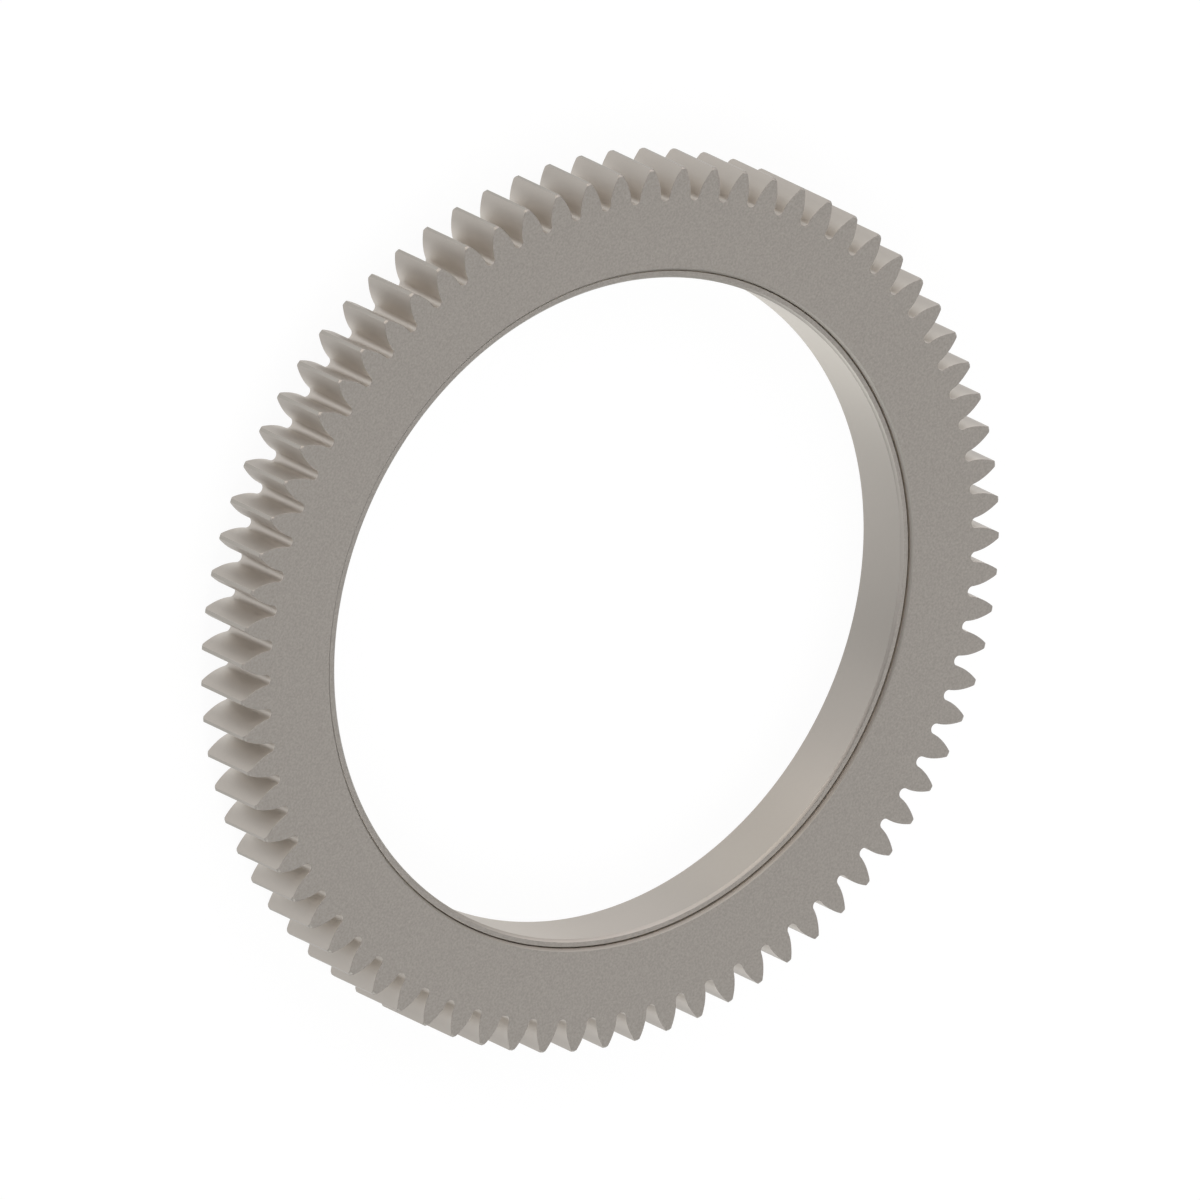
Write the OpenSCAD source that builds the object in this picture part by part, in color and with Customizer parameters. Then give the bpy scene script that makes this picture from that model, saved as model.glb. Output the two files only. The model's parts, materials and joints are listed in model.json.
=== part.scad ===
// Idler gear: a slim spur gear ring with a thin bush pressed into its bore.
// It lies on its back face at z = 0, with the axis along Z and a tooth on +X.
// The bush is set in a little from the front face, which is on top.

/* [Teeth] */
// Module, the millimetres of pitch diameter for each tooth
gear_module = 2; // [1.9:0.05:2.4]
// Number of teeth
teeth = 75; // [72:1:90]
// Pressure angle of the involute flanks in degrees
pressure_angle = 20; // [18:0.5:21]
// Height of the tips above the pitch circle in modules
addendum = 1; // [0.8:0.05:1.05]
// Depth of the gaps below the pitch circle in modules
dedendum = 1.9; // [1.6:0.05:2]
// Metal taken off each flank along its whole height for backlash
flank_thinning = 0.13; // [0:0.01:0.15]
// Extra metal eased off each flank at the tip, which crowns the flank
flank_crowning = 0.35; // [0:0.05:0.4]
// How far below the pitch circle a crowned flank is fullest
crown_drop = 1.1; // [0.7:0.1:1.5]
// Width of the teeth along the axis
face_w = 12.5; // [8:0.5:25]
// Chamfer round the tips at both ends of the teeth
tip_chamfer = 0.35; // [0.1:0.05:0.8]

/* [Bush] */
// Bore of the bush, which turns on the idler's journal
bore_d = 115; // [100:0.5:118]
// Wall of the bush
bush_wall = 1.5; // [1.2:0.1:2.5]
// How far the bush is set in from the front face
bush_recess = 0.7; // [0:0.1:2]
// Chamfer at both ends of the bush's bore
bore_chamfer = 0.45; // [0.1:0.05:0.6]
// Width of the slim lead turned on each end of the bush's outside
lead_w = 0.25; // [0.1:0.05:0.5]
// Length of that lead along the axis
lead_len = 0.7; // [0.4:0.1:2]
// Chamfer at both ends of the gear's own bore, where the bush goes in
seat_chamfer = 0.4; // [0.1:0.1:1]

/* [Hidden] */

// Sides of the round surfaces in the preview
round_sides = 180;
// Steps along one flank and along half of the round at the bottom of a gap
flank_steps = 6;
fillet_steps = 5;
// How far the flanks run past the blank's outside, so that the blank trims them
overrun = 0.1;

pitch_r = gear_module * teeth / 2;
base_r = pitch_r * cos(pressure_angle);
tip_r = pitch_r + addendum * gear_module;
root_r = pitch_r - dedendum * gear_module;
crown_r = pitch_r - crown_drop;
half_pitch = 180 / teeth;

bore_r = bore_d / 2;
seat_r = bore_r + bush_wall;
bush_len = face_w - bush_recess;

// Involute function of an angle, in degrees
function involute(a) = tan(a) * 180 / PI - a;

// Metal off one flank at radius r, as an arc in millimetres
function relief(r) = flank_thinning + flank_crowning * pow((r - crown_r) / (tip_r - crown_r), 2);

// Angle from a tooth's centre line to its flank at radius r
function flank_angle(r) =
    half_pitch / 2
    + involute(pressure_angle)
    - involute(acos(min(1, base_r / r)))
    - relief(r) / r * 180 / PI;

// Half the width of a gap at radius r, and the lean of its side there
function gap_half(r) = r * sin(half_pitch - flank_angle(r));
function gap_lean(r, d = 0.01) = atan((gap_half(r + d) - gap_half(r - d)) / (2 * d));

// Radius of the round that touches the bottom of a gap and both its sides, found by halving
function round_r(low, high, tries = 24) =
    let (mid = (low + high) / 2, r = root_r + mid)
    tries == 0 ? mid
    : gap_half(r) * cos(gap_lean(r)) > mid ? round_r(mid, high, tries - 1)
    : round_r(low, mid, tries - 1);

fillet_r = round_r(0.1, gear_module);
fillet_lean = gap_lean(root_r + fillet_r);
foot_r = root_r + fillet_r * (1 - sin(fillet_lean));

// One side of a gap from its bottom up to the tip, as [radius, angle from the gap's centre line]
fillet_side = [
    for (i = [0 : fillet_steps])
        let (
            a = -90 + (90 - fillet_lean) * i / fillet_steps,
            x = fillet_r * cos(a),
            y = root_r + fillet_r * (1 + sin(a))
        )
        [norm([x, y]), atan2(x, y)]
];
flank_side = [
    for (i = [1 : flank_steps])
        let (r = foot_r + (tip_r + overrun - foot_r) * i / flank_steps)
        [r, half_pitch - flank_angle(r)]
];
gap_side = concat(fillet_side, flank_side);

// The whole gap, from one tip down to the bottom and up to the next tip
gap_outline = concat(
    [for (i = [len(gap_side) - 1 : -1 : 1]) [gap_side[i][0], -gap_side[i][1]]],
    gap_side
);

// A point from its radius and its angle round the axis
function polar(r, a) = [r * cos(a), r * sin(a)];

// Outline of the toothed ring seen along the axis
module tooth_outline() {
    polygon([
        for (k = [0 : teeth - 1])
            for (p = gap_outline)
                polar(p[0], (2 * k + 1) * half_pitch + p[1])
    ]);
}

// The ring as turned, before the gaps are cut
module turned_blank() {
    rotate_extrude($fn = round_sides)
        polygon([
            [seat_r + seat_chamfer, 0],
            [tip_r - tip_chamfer, 0],
            [tip_r, tip_chamfer],
            [tip_r, face_w - tip_chamfer],
            [tip_r - tip_chamfer, face_w],
            [seat_r + seat_chamfer, face_w],
            [seat_r, face_w - seat_chamfer],
            [seat_r, seat_chamfer]
        ]);
}

// Spur gear ring with its teeth
module gear() {
    color([0.59, 0.57, 0.54])
        intersection() {
            turned_blank();
            linear_extrude(height = face_w) tooth_outline();
        }
}

// Plain bush, flush with the gear's back face and set in from its front face
module bush() {
    color([0.60, 0.58, 0.55])
        rotate_extrude($fn = round_sides)
            polygon([
                [bore_r + bore_chamfer, 0],
                [seat_r - lead_w, 0],
                [seat_r, lead_len],
                [seat_r, bush_len - lead_len],
                [seat_r - lead_w, bush_len],
                [bore_r + bore_chamfer, bush_len],
                [bore_r, bush_len - bore_chamfer],
                [bore_r, bore_chamfer]
            ]);
}

gear();
bush();
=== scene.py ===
"""Idler gear: a slim spur gear ring with a thin bush pressed into its bore, lying on a white table.

Metres, in the row's frame: the back face is at z = 0, the axis is Z and a tooth is centred on +X.
"""

import json
import math

import bpy
from mathutils import Matrix, Vector

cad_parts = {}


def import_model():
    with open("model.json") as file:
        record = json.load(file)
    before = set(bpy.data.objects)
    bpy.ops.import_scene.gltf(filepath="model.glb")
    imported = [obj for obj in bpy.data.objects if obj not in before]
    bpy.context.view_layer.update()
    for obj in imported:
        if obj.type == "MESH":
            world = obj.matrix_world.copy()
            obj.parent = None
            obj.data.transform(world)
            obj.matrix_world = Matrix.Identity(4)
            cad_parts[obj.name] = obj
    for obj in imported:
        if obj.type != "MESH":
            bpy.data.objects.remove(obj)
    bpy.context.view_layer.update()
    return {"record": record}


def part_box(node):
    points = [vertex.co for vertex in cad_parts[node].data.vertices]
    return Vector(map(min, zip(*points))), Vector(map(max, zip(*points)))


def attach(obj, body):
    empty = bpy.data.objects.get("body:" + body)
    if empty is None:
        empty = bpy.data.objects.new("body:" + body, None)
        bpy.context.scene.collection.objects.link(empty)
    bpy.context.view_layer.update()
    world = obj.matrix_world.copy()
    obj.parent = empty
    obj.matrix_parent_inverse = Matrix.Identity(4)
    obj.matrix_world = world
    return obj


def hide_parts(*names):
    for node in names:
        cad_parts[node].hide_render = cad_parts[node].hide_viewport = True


MM = 0.001

# Teeth
MODULE = 2 * MM
TEETH = 75
PRESSURE_ANGLE = math.radians(20)
ADDENDUM = 1.0 * MODULE
DEDENDUM = 1.9 * MODULE
FLANK_THINNING = 0.13 * MM
FLANK_CROWNING = 0.35 * MM
CROWN_DROP = 1.1 * MM
TIP_CHAMFER = 0.35 * MM

# Bore and bush
SEAT_CHAMFER = 0.4 * MM
BUSH_WALL = 1.5 * MM
BORE_CHAMFER = 0.45 * MM
LEAD_W = 0.25 * MM
LEAD_LEN = 0.7 * MM
# Share of the lead's width that has the finish of the bush's outside, with the seat's painted light
OUTSIDE_SHARE = 0.9

# Edges that are broken by hand after machining
EDGE_BREAK = 0.04 * MM
TIP_ROUND = 0.08 * MM
BUSH_ROUND = 0.06 * MM

# Fineness of the meshes: steps along each line, and steps along the bore's arc for each tooth
FILLET_STEPS = 10
FLANK_STEPS = 16
TIP_LAND_STEPS = 2
ROUND_STEPS = 3
ARC_STEPS = 6
# Least distance of another flank point from the one where the tip chamfer begins
CREASE_ROOM = 0.1 * MM
# Smallest round that the bottom of a gap may have, and the step over which a slope is taken
LEAST_FILLET = 0.1 * MM
SLOPE_STEP = 0.01 * MM
# Lengths closer than this count as equal
TOLERANCE = 0.01 * MM
# Edges sharper than this stay sharp, and large faces rule the shading of the small ones beside them
SHARP_ANGLE = math.radians(28)
LARGE_FACE_WEIGHT = 100

# Camera: the photograph's viewing angle, as the directions of its own axes
CAMERA_RIGHT = Vector((0.511905, -0.646071, 0.566167))
CAMERA_UP = Vector((0.855398, 0.443998, -0.266757))
CAMERA_DISTANCE = 1.2
# Width of the photograph, and in it the radius over the tips and the centre of the front face, in pixels
PHOTO_SIZE = 1200
PHOTO_TIP_RADIUS = 459.828
PHOTO_FACE_CENTRE = (621.247, 610.091)

# Colours of the steel: ground faces, turned chamfers, the seat between gear and bush, the bore
GROUND_STEEL = (0.336, 0.314, 0.286)
TURNED_STEEL = (0.40, 0.377, 0.343)
# The seat's colour is painted light, brighter to lift the shade down in the narrow groove between gear
# and bush
SEAT_PAINTED_LIGHT = (0.70, 0.655, 0.595)
BORED_STEEL = (0.50, 0.472, 0.433)
# The gear's chamfer beside the bush, and the painted shade that darkens it down at the seam
LIP_STEEL = (0.37, 0.348, 0.315)
SEAM_PAINTED_SHADE = (0.27, 0.25, 0.225)
# The flanks near the tips; further down in the gaps and at the roots, painted light that lifts their
# shade
FLANK_STEEL = (0.50, 0.469, 0.432)
GAP_PAINTED_LIGHT = (0.68, 0.643, 0.597)
ROOT_PAINTED_LIGHT = (0.58, 0.547, 0.507)
# Where the gaps' painted light goes over to the flanks' tone, measured from the pitch circle, and where
# the roots' painted light goes over to the gaps', measured from the root circle
GAP_LIGHT_BLEND = (-2.2 * MM, 1.0 * MM)
ROOT_LIGHT_BLEND = (0.2 * MM, 1.0 * MM)

# Roughness of each finish
GROUND_ROUGHNESS = 0.45
TURNED_ROUGHNESS = 0.42
SEAT_ROUGHNESS = 0.5
BORED_ROUGHNESS = 0.5
LIP_ROUGHNESS = 0.5
HOBBED_ROUGHNESS = 0.55
# How far the marks in the bore draw a reflection out, and the turn that lays them round the bore
BORE_DRAW = 0.9
QUARTER_TURN = 0.25
# Grain of the ground faces and of the rest: size, depth, and how much it changes the tone
GROUND_GRAIN = (0.4 * MM, 0.001 * MM, 0.25)
FINE_GRAIN = (0.5 * MM, 0.0005 * MM, 0.02)
GRAIN_DETAIL = 2
GRAIN_UNEVENNESS = 0.6

# The floor: half its side in metres, the white that lights the gear, and the glow and shade to the eye
FLOOR_HALF = 2.0
FLOOR_WHITE = 0.8
FLOOR_ROUGHNESS = 0.9
FLOOR_GLOW = 0.94
FLOOR_SHADE = 0.07

# Width of each lamp as seen from the gear
LAMP_SPREAD = math.radians(50)
# Azimuth and elevation of each lamp in degrees, its strength and its colour
LAMPS = [
    (0, 12, 0.57, (1.0, 0.93, 0.95)),
    (30, 35, 0.66, (1.0, 0.98, 0.99)),
    (60, 12, 0.72, (1.0, 0.91, 0.81)),
    (90, 12, 0.95, (1.0, 0.96, 0.97)),
    (150, 35, 0.57, (1.0, 0.98, 1.0)),
    (210, 12, 0.25, (0.97, 0.95, 1.0)),
    (210, 35, 1.09, (0.97, 1.0, 0.99)),
    (240, 60, 1.00, (1.0, 0.99, 1.0)),
    (330, 35, 0.84, (1.0, 0.99, 0.98)),
]

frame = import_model()

mounts = {mount["name"]: mount for mount in frame["record"]["mounts"]}
FACE_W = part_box("gear")[1].z
BUSH_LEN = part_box("bush")[1].z
BORE_R = mounts["bore"]["dims"]["r_mm"] * MM
SEAT_R = BORE_R + BUSH_WALL
PITCH_R = MODULE * TEETH / 2
BASE_R = PITCH_R * math.cos(PRESSURE_ANGLE)
TIP_R = PITCH_R + ADDENDUM
ROOT_R = PITCH_R - DEDENDUM
CROWN_R = PITCH_R - CROWN_DROP
HALF_PITCH = math.pi / TEETH


# Outline of the teeth


def involute(angle):
    """The involute function, with the angle in radians."""
    return math.tan(angle) - angle


def flank_angle(r):
    """Angle from a tooth's centre line to its flank at radius r."""
    relief = FLANK_THINNING + FLANK_CROWNING * ((r - CROWN_R) / (TIP_R - CROWN_R)) ** 2
    turned = involute(PRESSURE_ANGLE) - involute(math.acos(min(1, BASE_R / r)))
    return HALF_PITCH / 2 + turned - relief / r


def flank_point(r):
    """The flank's point at radius r, with the tooth's centre line along X."""
    return Vector((r * math.cos(flank_angle(r)), r * math.sin(flank_angle(r))))


def gap_half(r):
    """Half the width of a gap at radius r."""
    return r * math.sin(HALF_PITCH - flank_angle(r))


def gap_lean(r):
    """Lean of the gap's side at radius r, away from the gap's centre line."""
    wider = gap_half(r + SLOPE_STEP) - gap_half(r - SLOPE_STEP)
    return math.atan(wider / (2 * SLOPE_STEP))


def halving(too_low, low, high, tries=50):
    """The value between low and high at which too_low stops being true."""
    for _ in range(tries):
        middle = (low + high) / 2
        if too_low(middle):
            low = middle
        else:
            high = middle
    return (low + high) / 2


def fillet_points():
    """The round at the bottom of a gap, from the gap's centre line to where the flank begins."""

    def fits(radius):
        r = ROOT_R + radius
        return gap_half(r) * math.cos(gap_lean(r)) > radius

    radius = halving(fits, LEAST_FILLET, MODULE)
    lean = gap_lean(ROOT_R + radius)
    centre_line = Vector((math.cos(HALF_PITCH), math.sin(HALF_PITCH)))
    sideways = Vector((math.sin(HALF_PITCH), -math.cos(HALF_PITCH)))
    points = []
    for i in range(FILLET_STEPS + 1):
        angle = -math.pi / 2 + (math.pi / 2 - lean) * i / FILLET_STEPS
        along = ROOT_R + radius * (1 + math.sin(angle))
        points.append(centre_line * along + sideways * (radius * math.cos(angle)))
    return points, ROOT_R + radius * (1 - math.sin(lean))


def rounded(points, corner, radius, steps):
    """The line of points with the corner at that index rounded by an arc."""
    here = points[corner]
    back = (points[corner - 1] - here).normalized()
    ahead = (points[(corner + 1) % len(points)] - here).normalized()
    half = back.angle(ahead) / 2
    centre = here + (back + ahead).normalized() * (radius / math.sin(half))
    start = here + back * (radius / math.tan(half)) - centre
    end = here + ahead * (radius / math.tan(half)) - centre
    turn = start.angle_signed(end)
    arc = []
    for i in range(steps + 1):
        angle = -turn * i / steps
        arc.append(centre + Matrix.Rotation(angle, 2) @ start)
    return points[:corner] + arc + points[corner + 1 :]


def half_tooth():
    """Outline from the middle of a gap to the middle of the tip, beside a tooth along +X."""
    fillet, foot_r = fillet_points()
    crease_r = halving(lambda r: broken_radius(r) < TIP_R - TIP_CHAMFER, PITCH_R, TIP_R)
    radii = [foot_r + (TIP_R - foot_r) * i / FLANK_STEPS for i in range(1, FLANK_STEPS + 1)]
    radii = [r for r in radii if abs(r - crease_r) > CREASE_ROOM] + [crease_r]
    flank = [flank_point(r) for r in sorted(radii)]
    tip_angle = flank_angle(TIP_R)
    land = []
    for i in range(1, TIP_LAND_STEPS + 1):
        angle = tip_angle * (1 - i / TIP_LAND_STEPS)
        land.append(Vector((TIP_R * math.cos(angle), TIP_R * math.sin(angle))))
    corner = len(fillet) + len(flank) - 1
    return rounded(fillet + flank + land, corner, TIP_ROUND, ROUND_STEPS)


def broken_radius(r):
    """Radius of the flank's edge on the end face, once the edge at radius r is broken."""
    inward = flank_normal(flank_point(r - SLOPE_STEP), flank_point(r + SLOPE_STEP))
    return (flank_point(r) + inward * EDGE_BREAK).length


def flank_normal(before, after):
    """Unit vector into the metal, where the outline runs from before to after up a tooth's +Y side."""
    tangent = (after - before).normalized()
    return Vector((tangent.y, -tangent.x))


def inset(points, distance):
    """The outline of half a tooth moved into the metal."""
    mirrored_before = reflect(points[1], HALF_PITCH)
    mirrored_after = Vector((points[-2].x, -points[-2].y))
    line = [mirrored_before] + points + [mirrored_after]
    moved = []
    for i, point in enumerate(points):
        moved.append(point + flank_normal(line[i], line[i + 2]) * distance)
    return moved


def reflect(point, angle):
    """A point mirrored in the line through the axis at that angle."""
    turned = 2 * angle - math.atan2(point.y, point.x)
    return Vector((point.length * math.cos(turned), point.length * math.sin(turned)))


# Meshes


class Build:
    """Vertices and faces of one mesh, with the finish that each face has."""

    def __init__(self):
        self.points = []
        self.faces = []
        self.finishes = []

    def add(self, faces, finish):
        """Adds the faces, with one finish for all of them or a list of one for each."""
        self.faces.extend(faces)
        self.finishes.extend(finish if isinstance(finish, list) else [finish] * len(faces))

    def loop(self, points):
        """Adds the points and returns their numbers."""
        first = len(self.points)
        self.points.extend(points)
        return list(range(first, len(self.points)))

    def band(self, lower, upper, finish):
        """Quads between two closed loops of the same length."""
        count = len(lower)
        turns = [(i, (i + 1) % count) for i in range(count)]
        self.add([(lower[i], lower[j], upper[j], upper[i]) for i, j in turns], finish)

    def piece(self, name, slot, materials):
        """Makes the piece of the row's one body; its slot argument is not used."""
        used = sorted(set(self.finishes))
        mesh = bpy.data.meshes.new(name)
        mesh.from_pydata(self.points, [], self.faces)
        for finish in used:
            mesh.materials.append(materials[finish])
        mesh.polygons.foreach_set("material_index", [used.index(finish) for finish in self.finishes])
        mesh.update()
        mesh.shade_smooth()
        mesh.set_sharp_from_angle(angle=SHARP_ANGLE)
        piece = bpy.data.objects.new(name, mesh)
        bpy.context.scene.collection.objects.link(piece)
        flat_faces = piece.modifiers.new("flat faces", "WEIGHTED_NORMAL")
        flat_faces.keep_sharp = True
        flat_faces.weight = LARGE_FACE_WEIGHT
        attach(piece, "root")
        return piece


def turned_round(half, k):
    """Both halves of tooth k, from the gap before it to the gap after it, without its last point."""
    side = [Vector((p.x, -p.y)) for p in half] + half[-2::-1]
    turn = Matrix.Rotation(2 * HALF_PITCH * k, 2)
    return [turn @ p for p in side[:-1]]


def end_height(r):
    """Height of the front end of the teeth at radius r, which the tip chamfer lowers."""
    return FACE_W - max(0, r - (TIP_R - TIP_CHAMFER))


def ring(r, z):
    """A closed loop of points round the axis, the first of them in the middle of a gap."""
    count = ARC_STEPS * TEETH
    points = []
    for i in range(count):
        angle = -HALF_PITCH + math.tau * i / count
        points.append((r * math.cos(angle), r * math.sin(angle), z))
    return points


def end_face(build, edge, lip, flip):
    """An end of the gear: strips across each tooth, and the flat web down to the seat's chamfer.

    The faces are flipped for the back end, which looks down.
    """
    per_tooth = len(edge) // TEETH
    middle = per_tooth // 2
    flat, chamfer = [], []
    for k in range(TEETH):
        tooth = [edge[(k * per_tooth + i) % len(edge)] for i in range(per_tooth + 1)]
        for i in range(middle - 1):
            outer = math.hypot(*build.points[tooth[i + 1]][:2])
            strip = chamfer if outer > TIP_R - TIP_CHAMFER + TOLERANCE else flat
            strip.append((tooth[i], tooth[i + 1], tooth[-2 - i], tooth[-1 - i]))
        chamfer.append((tooth[middle - 1], tooth[middle], tooth[middle + 1]))
        arc = [lip[(k * ARC_STEPS + i) % len(lip)] for i in range(ARC_STEPS + 1)]
        flat.append(tuple([tooth[0], tooth[-1]] + arc[::-1]))
    for faces, finish in ((flat, "ground"), (chamfer, "turned")):
        build.add([face[::-1] if flip else face for face in faces], finish)


def gear_mesh():
    """The toothed ring, closed all round, with its edges broken."""
    half = half_tooth()
    inner = inset(half, EDGE_BREAK)
    outline = [p for k in range(TEETH) for p in turned_round(half, k)]
    edge = [p for k in range(TEETH) for p in turned_round(inner, k)]
    build = Build()

    def loop(points, height):
        return build.loop([(p.x, p.y, height(p.length)) for p in points])

    bottom_edge = loop(edge, lambda r: FACE_W - end_height(r))
    bottom = loop(outline, lambda r: FACE_W - end_height(r) + EDGE_BREAK)
    top = loop(outline, lambda r: end_height(r) - EDGE_BREAK)
    top_edge = loop(edge, end_height)
    land_r = TIP_R - TOLERANCE
    skin = []
    for before, after in zip(outline, outline[1:] + outline[:1]):
        on_land = min(before.length, after.length) > land_r
        skin.append("turned" if on_land else "hobbed")
    build.band(bottom_edge, bottom, "ground")
    build.band(bottom, top, skin)
    build.band(top, top_edge, "ground")

    seat = [
        (SEAT_R + SEAT_CHAMFER, 0),
        (SEAT_R, SEAT_CHAMFER),
        (SEAT_R, FACE_W - SEAT_CHAMFER),
        (SEAT_R + SEAT_CHAMFER, FACE_W),
    ]
    loops = [build.loop(ring(r, z)) for r, z in seat]
    # The seat wall gets the seat's painted light, the chamfers the seam's painted shade
    for lower, upper, finish in zip(loops, loops[1:], ("lip", "seat", "lip")):
        build.band(upper, lower, finish)
    end_face(build, top_edge, loops[-1], False)
    end_face(build, bottom_edge, loops[0], True)
    return build


def bush_mesh():
    """The bush as turned, with rounded edges. The two edges of its seat stay as they are."""
    section = [
        Vector((BORE_R + BORE_CHAMFER, 0)),
        Vector((SEAT_R - LEAD_W, 0)),
        Vector((SEAT_R, LEAD_LEN)),
        Vector((SEAT_R, BUSH_LEN - LEAD_LEN)),
        Vector((SEAT_R - LEAD_W, BUSH_LEN)),
        Vector((BORE_R + BORE_CHAMFER, BUSH_LEN)),
        Vector((BORE_R, BUSH_LEN - BORE_CHAMFER)),
        Vector((BORE_R, BORE_CHAMFER)),
    ]
    # From the last corner to the first, so that the numbers of the others stay as they are
    for corner in (7, 6, 5, 4, 1, 0):
        section = rounded(section, corner, BUSH_ROUND, ROUND_STEPS)
    build = Build()
    loops = [build.loop(ring(p.x, p.y)) for p in section]
    for i, (lower, upper) in enumerate(zip(loops, loops[1:] + loops[:1])):
        along = section[(i + 1) % len(section)] - section[i]
        middle_r = section[i].x + along.x / 2
        finish = "turned"
        # Down in the groove the bush's outside gets the seat's painted light
        if middle_r > SEAT_R - OUTSIDE_SHARE * LEAD_W:
            finish = "seat"
        elif abs(along.y) < TOLERANCE:
            finish = "ground"
        elif abs(along.x) < TOLERANCE:
            finish = "bored"
        build.band(lower, upper, finish)
    return build


# Materials


def node_tree(material):
    """The material's nodes, and the shader among them."""
    material.use_nodes = True
    tree = material.node_tree
    return tree, tree.nodes["Principled BSDF"]


def link(tree, start, end):
    """Joins an output of one node to an input of another."""
    tree.links.new(start, end)


def steel(name, colour, roughness, grain):
    """Bare steel with a fine grain, which is seen in its tone and as a bump."""
    grain_size, grain_depth, grain_tone = grain
    material = bpy.data.materials.new(name)
    tree, shader = node_tree(material)
    shader.inputs["Metallic"].default_value = 1
    shader.inputs["Roughness"].default_value = roughness
    place = tree.nodes.new("ShaderNodeTexCoord")
    noise = tree.nodes.new("ShaderNodeTexNoise")
    noise.inputs["Scale"].default_value = 1 / grain_size
    noise.inputs["Detail"].default_value = GRAIN_DETAIL
    noise.inputs["Roughness"].default_value = GRAIN_UNEVENNESS
    link(tree, place.outputs["Object"], noise.inputs["Vector"])
    tone = tree.nodes.new("ShaderNodeMix")
    tone.data_type = "RGBA"
    tone.inputs["A"].default_value = (*[c * (1 - grain_tone) for c in colour], 1)
    tone.inputs["B"].default_value = (*[c * (1 + grain_tone) for c in colour], 1)
    link(tree, noise.outputs["Fac"], tone.inputs["Factor"])
    link(tree, tone.outputs["Result"], shader.inputs["Base Color"])
    bump = tree.nodes.new("ShaderNodeBump")
    bump.inputs["Distance"].default_value = grain_depth
    link(tree, noise.outputs["Fac"], bump.inputs["Height"])
    link(tree, bump.outputs["Normal"], shader.inputs["Normal"])
    return material


def bored_steel():
    """The bush's inside. The round marks of the boring tool draw each reflection out along the axis."""
    material = steel("bored_steel", BORED_STEEL, BORED_ROUGHNESS, FINE_GRAIN)
    tree, shader = node_tree(material)
    shader.inputs["Anisotropic"].default_value = BORE_DRAW
    shader.inputs["Anisotropic Rotation"].default_value = QUARTER_TURN
    round_marks = tree.nodes.new("ShaderNodeTangent")
    round_marks.direction_type = "RADIAL"
    round_marks.axis = "Z"
    link(tree, round_marks.outputs["Tangent"], shader.inputs["Tangent"])
    return material


def inner_painted_tone(material, colour, inner_r, outer_r):
    """Blends the steel's tone into that colour towards the axis, between the two radii: painted light
    where the colour is lighter, painted shade where it is darker.
    """
    tree, shader = node_tree(material)
    base = shader.inputs["Base Color"]
    place = tree.nodes.new("ShaderNodeTexCoord")
    flat = tree.nodes.new("ShaderNodeVectorMath")
    flat.operation = "MULTIPLY"
    flat.inputs[1].default_value = (1, 1, 0)
    link(tree, place.outputs["Object"], flat.inputs[0])
    reach = tree.nodes.new("ShaderNodeVectorMath")
    reach.operation = "LENGTH"
    link(tree, flat.outputs["Vector"], reach.inputs[0])
    depth = tree.nodes.new("ShaderNodeMapRange")
    depth.interpolation_type = "SMOOTHSTEP"
    depth.inputs["From Min"].default_value = inner_r
    depth.inputs["From Max"].default_value = outer_r
    depth.inputs["To Min"].default_value = 1
    depth.inputs["To Max"].default_value = 0
    link(tree, reach.outputs["Value"], depth.inputs["Value"])
    blend = tree.nodes.new("ShaderNodeMix")
    blend.data_type = "RGBA"
    blend.inputs["B"].default_value = (*colour, 1)
    link(tree, depth.outputs["Result"], blend.inputs["Factor"])
    link(tree, base.links[0].from_socket, blend.inputs["A"])
    link(tree, blend.outputs["Result"], base)


def hobbed_steel_painted_gap_light():
    """Hobbed flanks, with painted light: brighter down in the gaps and a little darker again at the
    roots.
    """
    material = steel("hobbed_steel_painted_gap_light", FLANK_STEEL, HOBBED_ROUGHNESS, FINE_GRAIN)
    # Painted light: the gaps and roots are coloured brighter than the flanks, to lift the shade that
    # falls there
    inner_painted_tone(material, GAP_PAINTED_LIGHT, PITCH_R + GAP_LIGHT_BLEND[0], PITCH_R + GAP_LIGHT_BLEND[1])
    inner_painted_tone(material, ROOT_PAINTED_LIGHT, ROOT_R + ROOT_LIGHT_BLEND[0], ROOT_R + ROOT_LIGHT_BLEND[1])
    return material


def lip_steel_painted_seam_shade():
    """The chamfer round the gear's seat, with painted shade that darkens it towards the seam beside the
    bush.
    """
    material = steel("lip_steel_painted_seam_shade", LIP_STEEL, LIP_ROUGHNESS, FINE_GRAIN)
    # Painted shade in the crease between gear and bush
    inner_painted_tone(material, SEAM_PAINTED_SHADE, SEAT_R, SEAT_R + SEAT_CHAMFER)
    return material


def white_to_the_eye(tree, output, lit, white):
    """Shows the white shader to the camera and in reflections, and the lit one to all other light."""
    path = tree.nodes.new("ShaderNodeLightPath")
    seen = tree.nodes.new("ShaderNodeMath")
    seen.operation = "MAXIMUM"
    link(tree, path.outputs["Is Camera Ray"], seen.inputs[0])
    link(tree, path.outputs["Is Glossy Ray"], seen.inputs[1])
    mix = tree.nodes.new("ShaderNodeMixShader")
    link(tree, seen.outputs[0], mix.inputs[0])
    link(tree, lit, mix.inputs[1])
    link(tree, white, mix.inputs[2])
    link(tree, mix.outputs[0], output)


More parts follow.
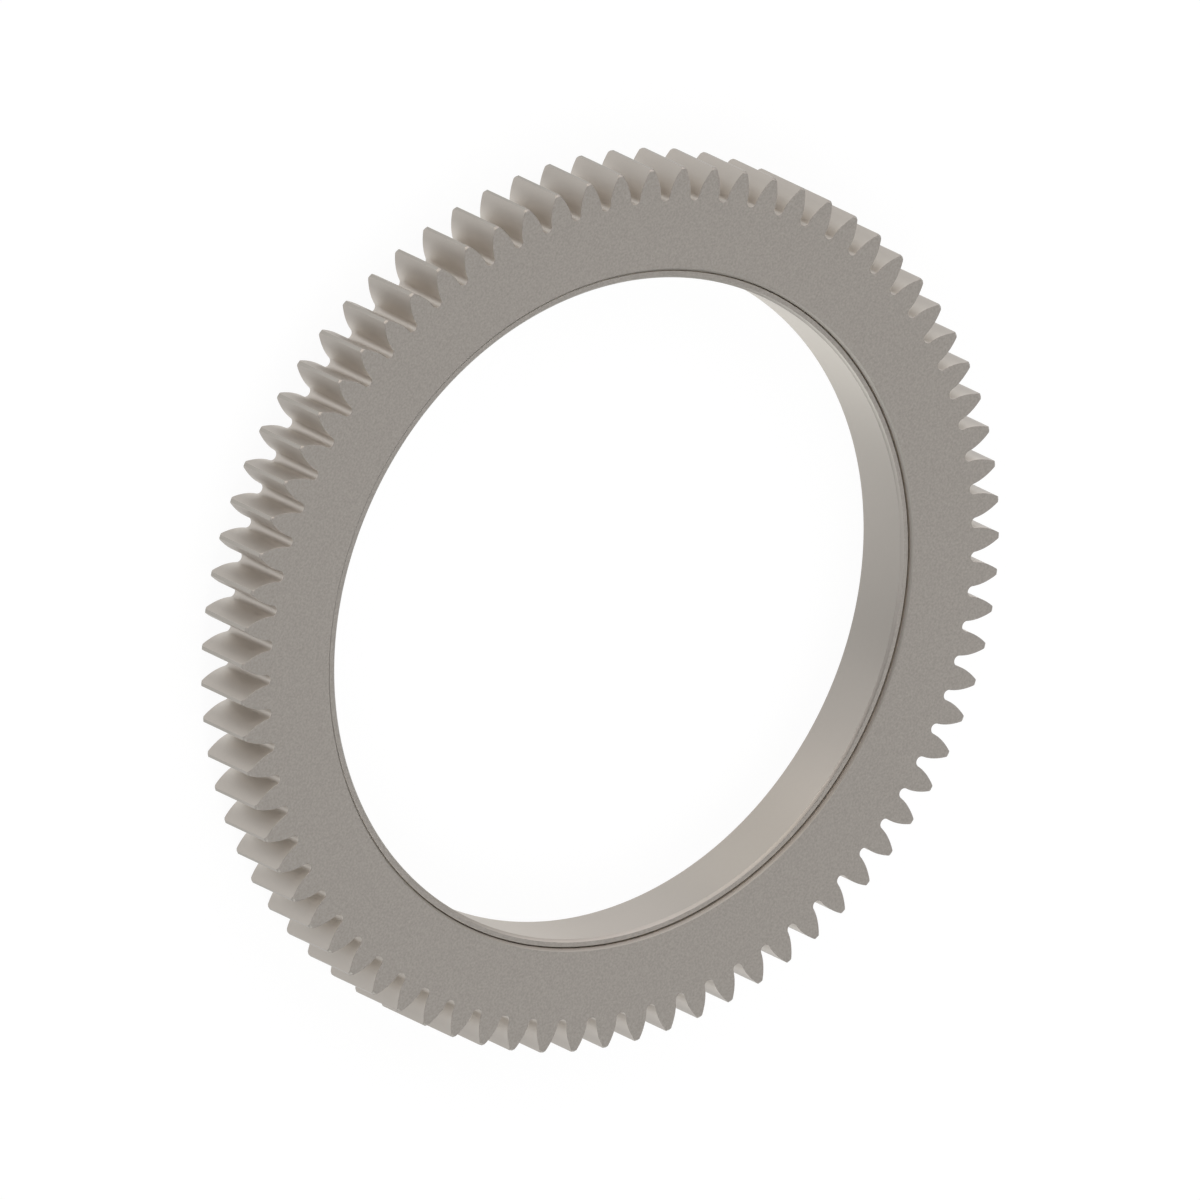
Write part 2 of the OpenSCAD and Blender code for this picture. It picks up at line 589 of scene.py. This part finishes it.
def floor_material():
    """White table top. To the eye it glows white, and only its small lit share shows the shadow."""
    material = bpy.data.materials.new("white_table")
    tree, shader = node_tree(material)
    shader.inputs["Base Color"].default_value = (FLOOR_WHITE, FLOOR_WHITE, FLOOR_WHITE, 1)
    shader.inputs["Roughness"].default_value = FLOOR_ROUGHNESS
    shader.inputs["Specular IOR Level"].default_value = 0
    dim = tree.nodes.new("ShaderNodeBsdfDiffuse")
    dim.inputs["Color"].default_value = (FLOOR_SHADE, FLOOR_SHADE, FLOOR_SHADE, 1)
    glow = tree.nodes.new("ShaderNodeEmission")
    glow.inputs["Strength"].default_value = FLOOR_GLOW
    both = tree.nodes.new("ShaderNodeAddShader")
    link(tree, dim.outputs[0], both.inputs[0])
    link(tree, glow.outputs[0], both.inputs[1])
    output = tree.nodes["Material Output"].inputs["Surface"]
    white_to_the_eye(tree, output, shader.outputs[0], both.outputs[0])
    return material


# Stage


def floor():
    """The table top that the gear lies on, at z = 0."""
    signs = [(-1, -1), (1, -1), (1, 1), (-1, 1)]
    corners = [(FLOOR_HALF * x, FLOOR_HALF * y, 0) for x, y in signs]
    mesh = bpy.data.meshes.new("table_top")
    mesh.from_pydata(corners, [], [(0, 1, 2, 3)])
    mesh.materials.append(floor_material())
    table = bpy.data.objects.new("table_top", mesh)
    bpy.context.scene.collection.objects.link(table)


def world():
    """White to the eye past the edge of the floor. It lights nothing: the lamps and the floor do that."""
    studio = bpy.data.worlds.new("studio")
    bpy.context.scene.world = studio
    studio.use_nodes = True
    tree = studio.node_tree
    backdrop = tree.nodes["Background"]
    backdrop.inputs["Color"].default_value = (1, 1, 1, 1)
    path = tree.nodes.new("ShaderNodeLightPath")
    link(tree, path.outputs["Is Camera Ray"], backdrop.inputs["Strength"])


def lamp(azimuth, elevation, strength, colour):
    """A soft lamp far away in that direction."""
    name = f"lamp_{azimuth}_{elevation}"
    data = bpy.data.lights.new(name, "SUN")
    data.energy = strength
    data.color = colour
    data.angle = LAMP_SPREAD
    lamp_object = bpy.data.objects.new(name, data)
    around, above = math.radians(azimuth), math.radians(elevation)
    level = math.cos(above)
    towards = Vector((level * math.cos(around), level * math.sin(around), math.sin(above)))
    lamp_object.rotation_euler = towards.to_track_quat("Z", "Y").to_euler()
    bpy.context.scene.collection.objects.link(lamp_object)


def camera():
    """Looks down on the gear at the photograph's angle, with the gear at its place in the frame."""
    back = CAMERA_RIGHT.cross(CAMERA_UP).normalized()
    metres = TIP_R / PHOTO_TIP_RADIUS
    across = (PHOTO_FACE_CENTRE[0] - PHOTO_SIZE / 2) * metres
    down = (PHOTO_FACE_CENTRE[1] - PHOTO_SIZE / 2) * metres
    face_centre = Vector((0, 0, FACE_W))
    place = face_centre - CAMERA_RIGHT * across + CAMERA_UP * down + back * CAMERA_DISTANCE
    data = bpy.data.cameras.new("camera")
    data.type = "ORTHO"
    data.ortho_scale = PHOTO_SIZE * metres
    eye = bpy.data.objects.new("camera", data)
    turn = Matrix((CAMERA_RIGHT, CAMERA_UP, back)).transposed().to_4x4()
    eye.matrix_world = Matrix.Translation(place) @ turn
    bpy.context.scene.collection.objects.link(eye)
    bpy.context.scene.camera = eye


bpy.context.scene.view_settings.view_transform = "Standard"
camera()
world()
for azimuth, elevation, strength, colour in LAMPS:
    lamp(azimuth, elevation, strength, colour)
floor()

finishes = {
    "ground": steel("ground_steel", GROUND_STEEL, GROUND_ROUGHNESS, GROUND_GRAIN),
    "turned": steel("turned_steel", TURNED_STEEL, TURNED_ROUGHNESS, FINE_GRAIN),
    "lip": lip_steel_painted_seam_shade(),
    "seat": steel("seat_steel_painted_light", SEAT_PAINTED_LIGHT, SEAT_ROUGHNESS, FINE_GRAIN),
    "bored": bored_steel(),
    "hobbed": hobbed_steel_painted_gap_light(),
}
gear = gear_mesh().piece("toothed_ring", "gear_steel", finishes)
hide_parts("gear")
bush = bush_mesh().piece("pressed_bush", "bush_steel", finishes)
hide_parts("bush")
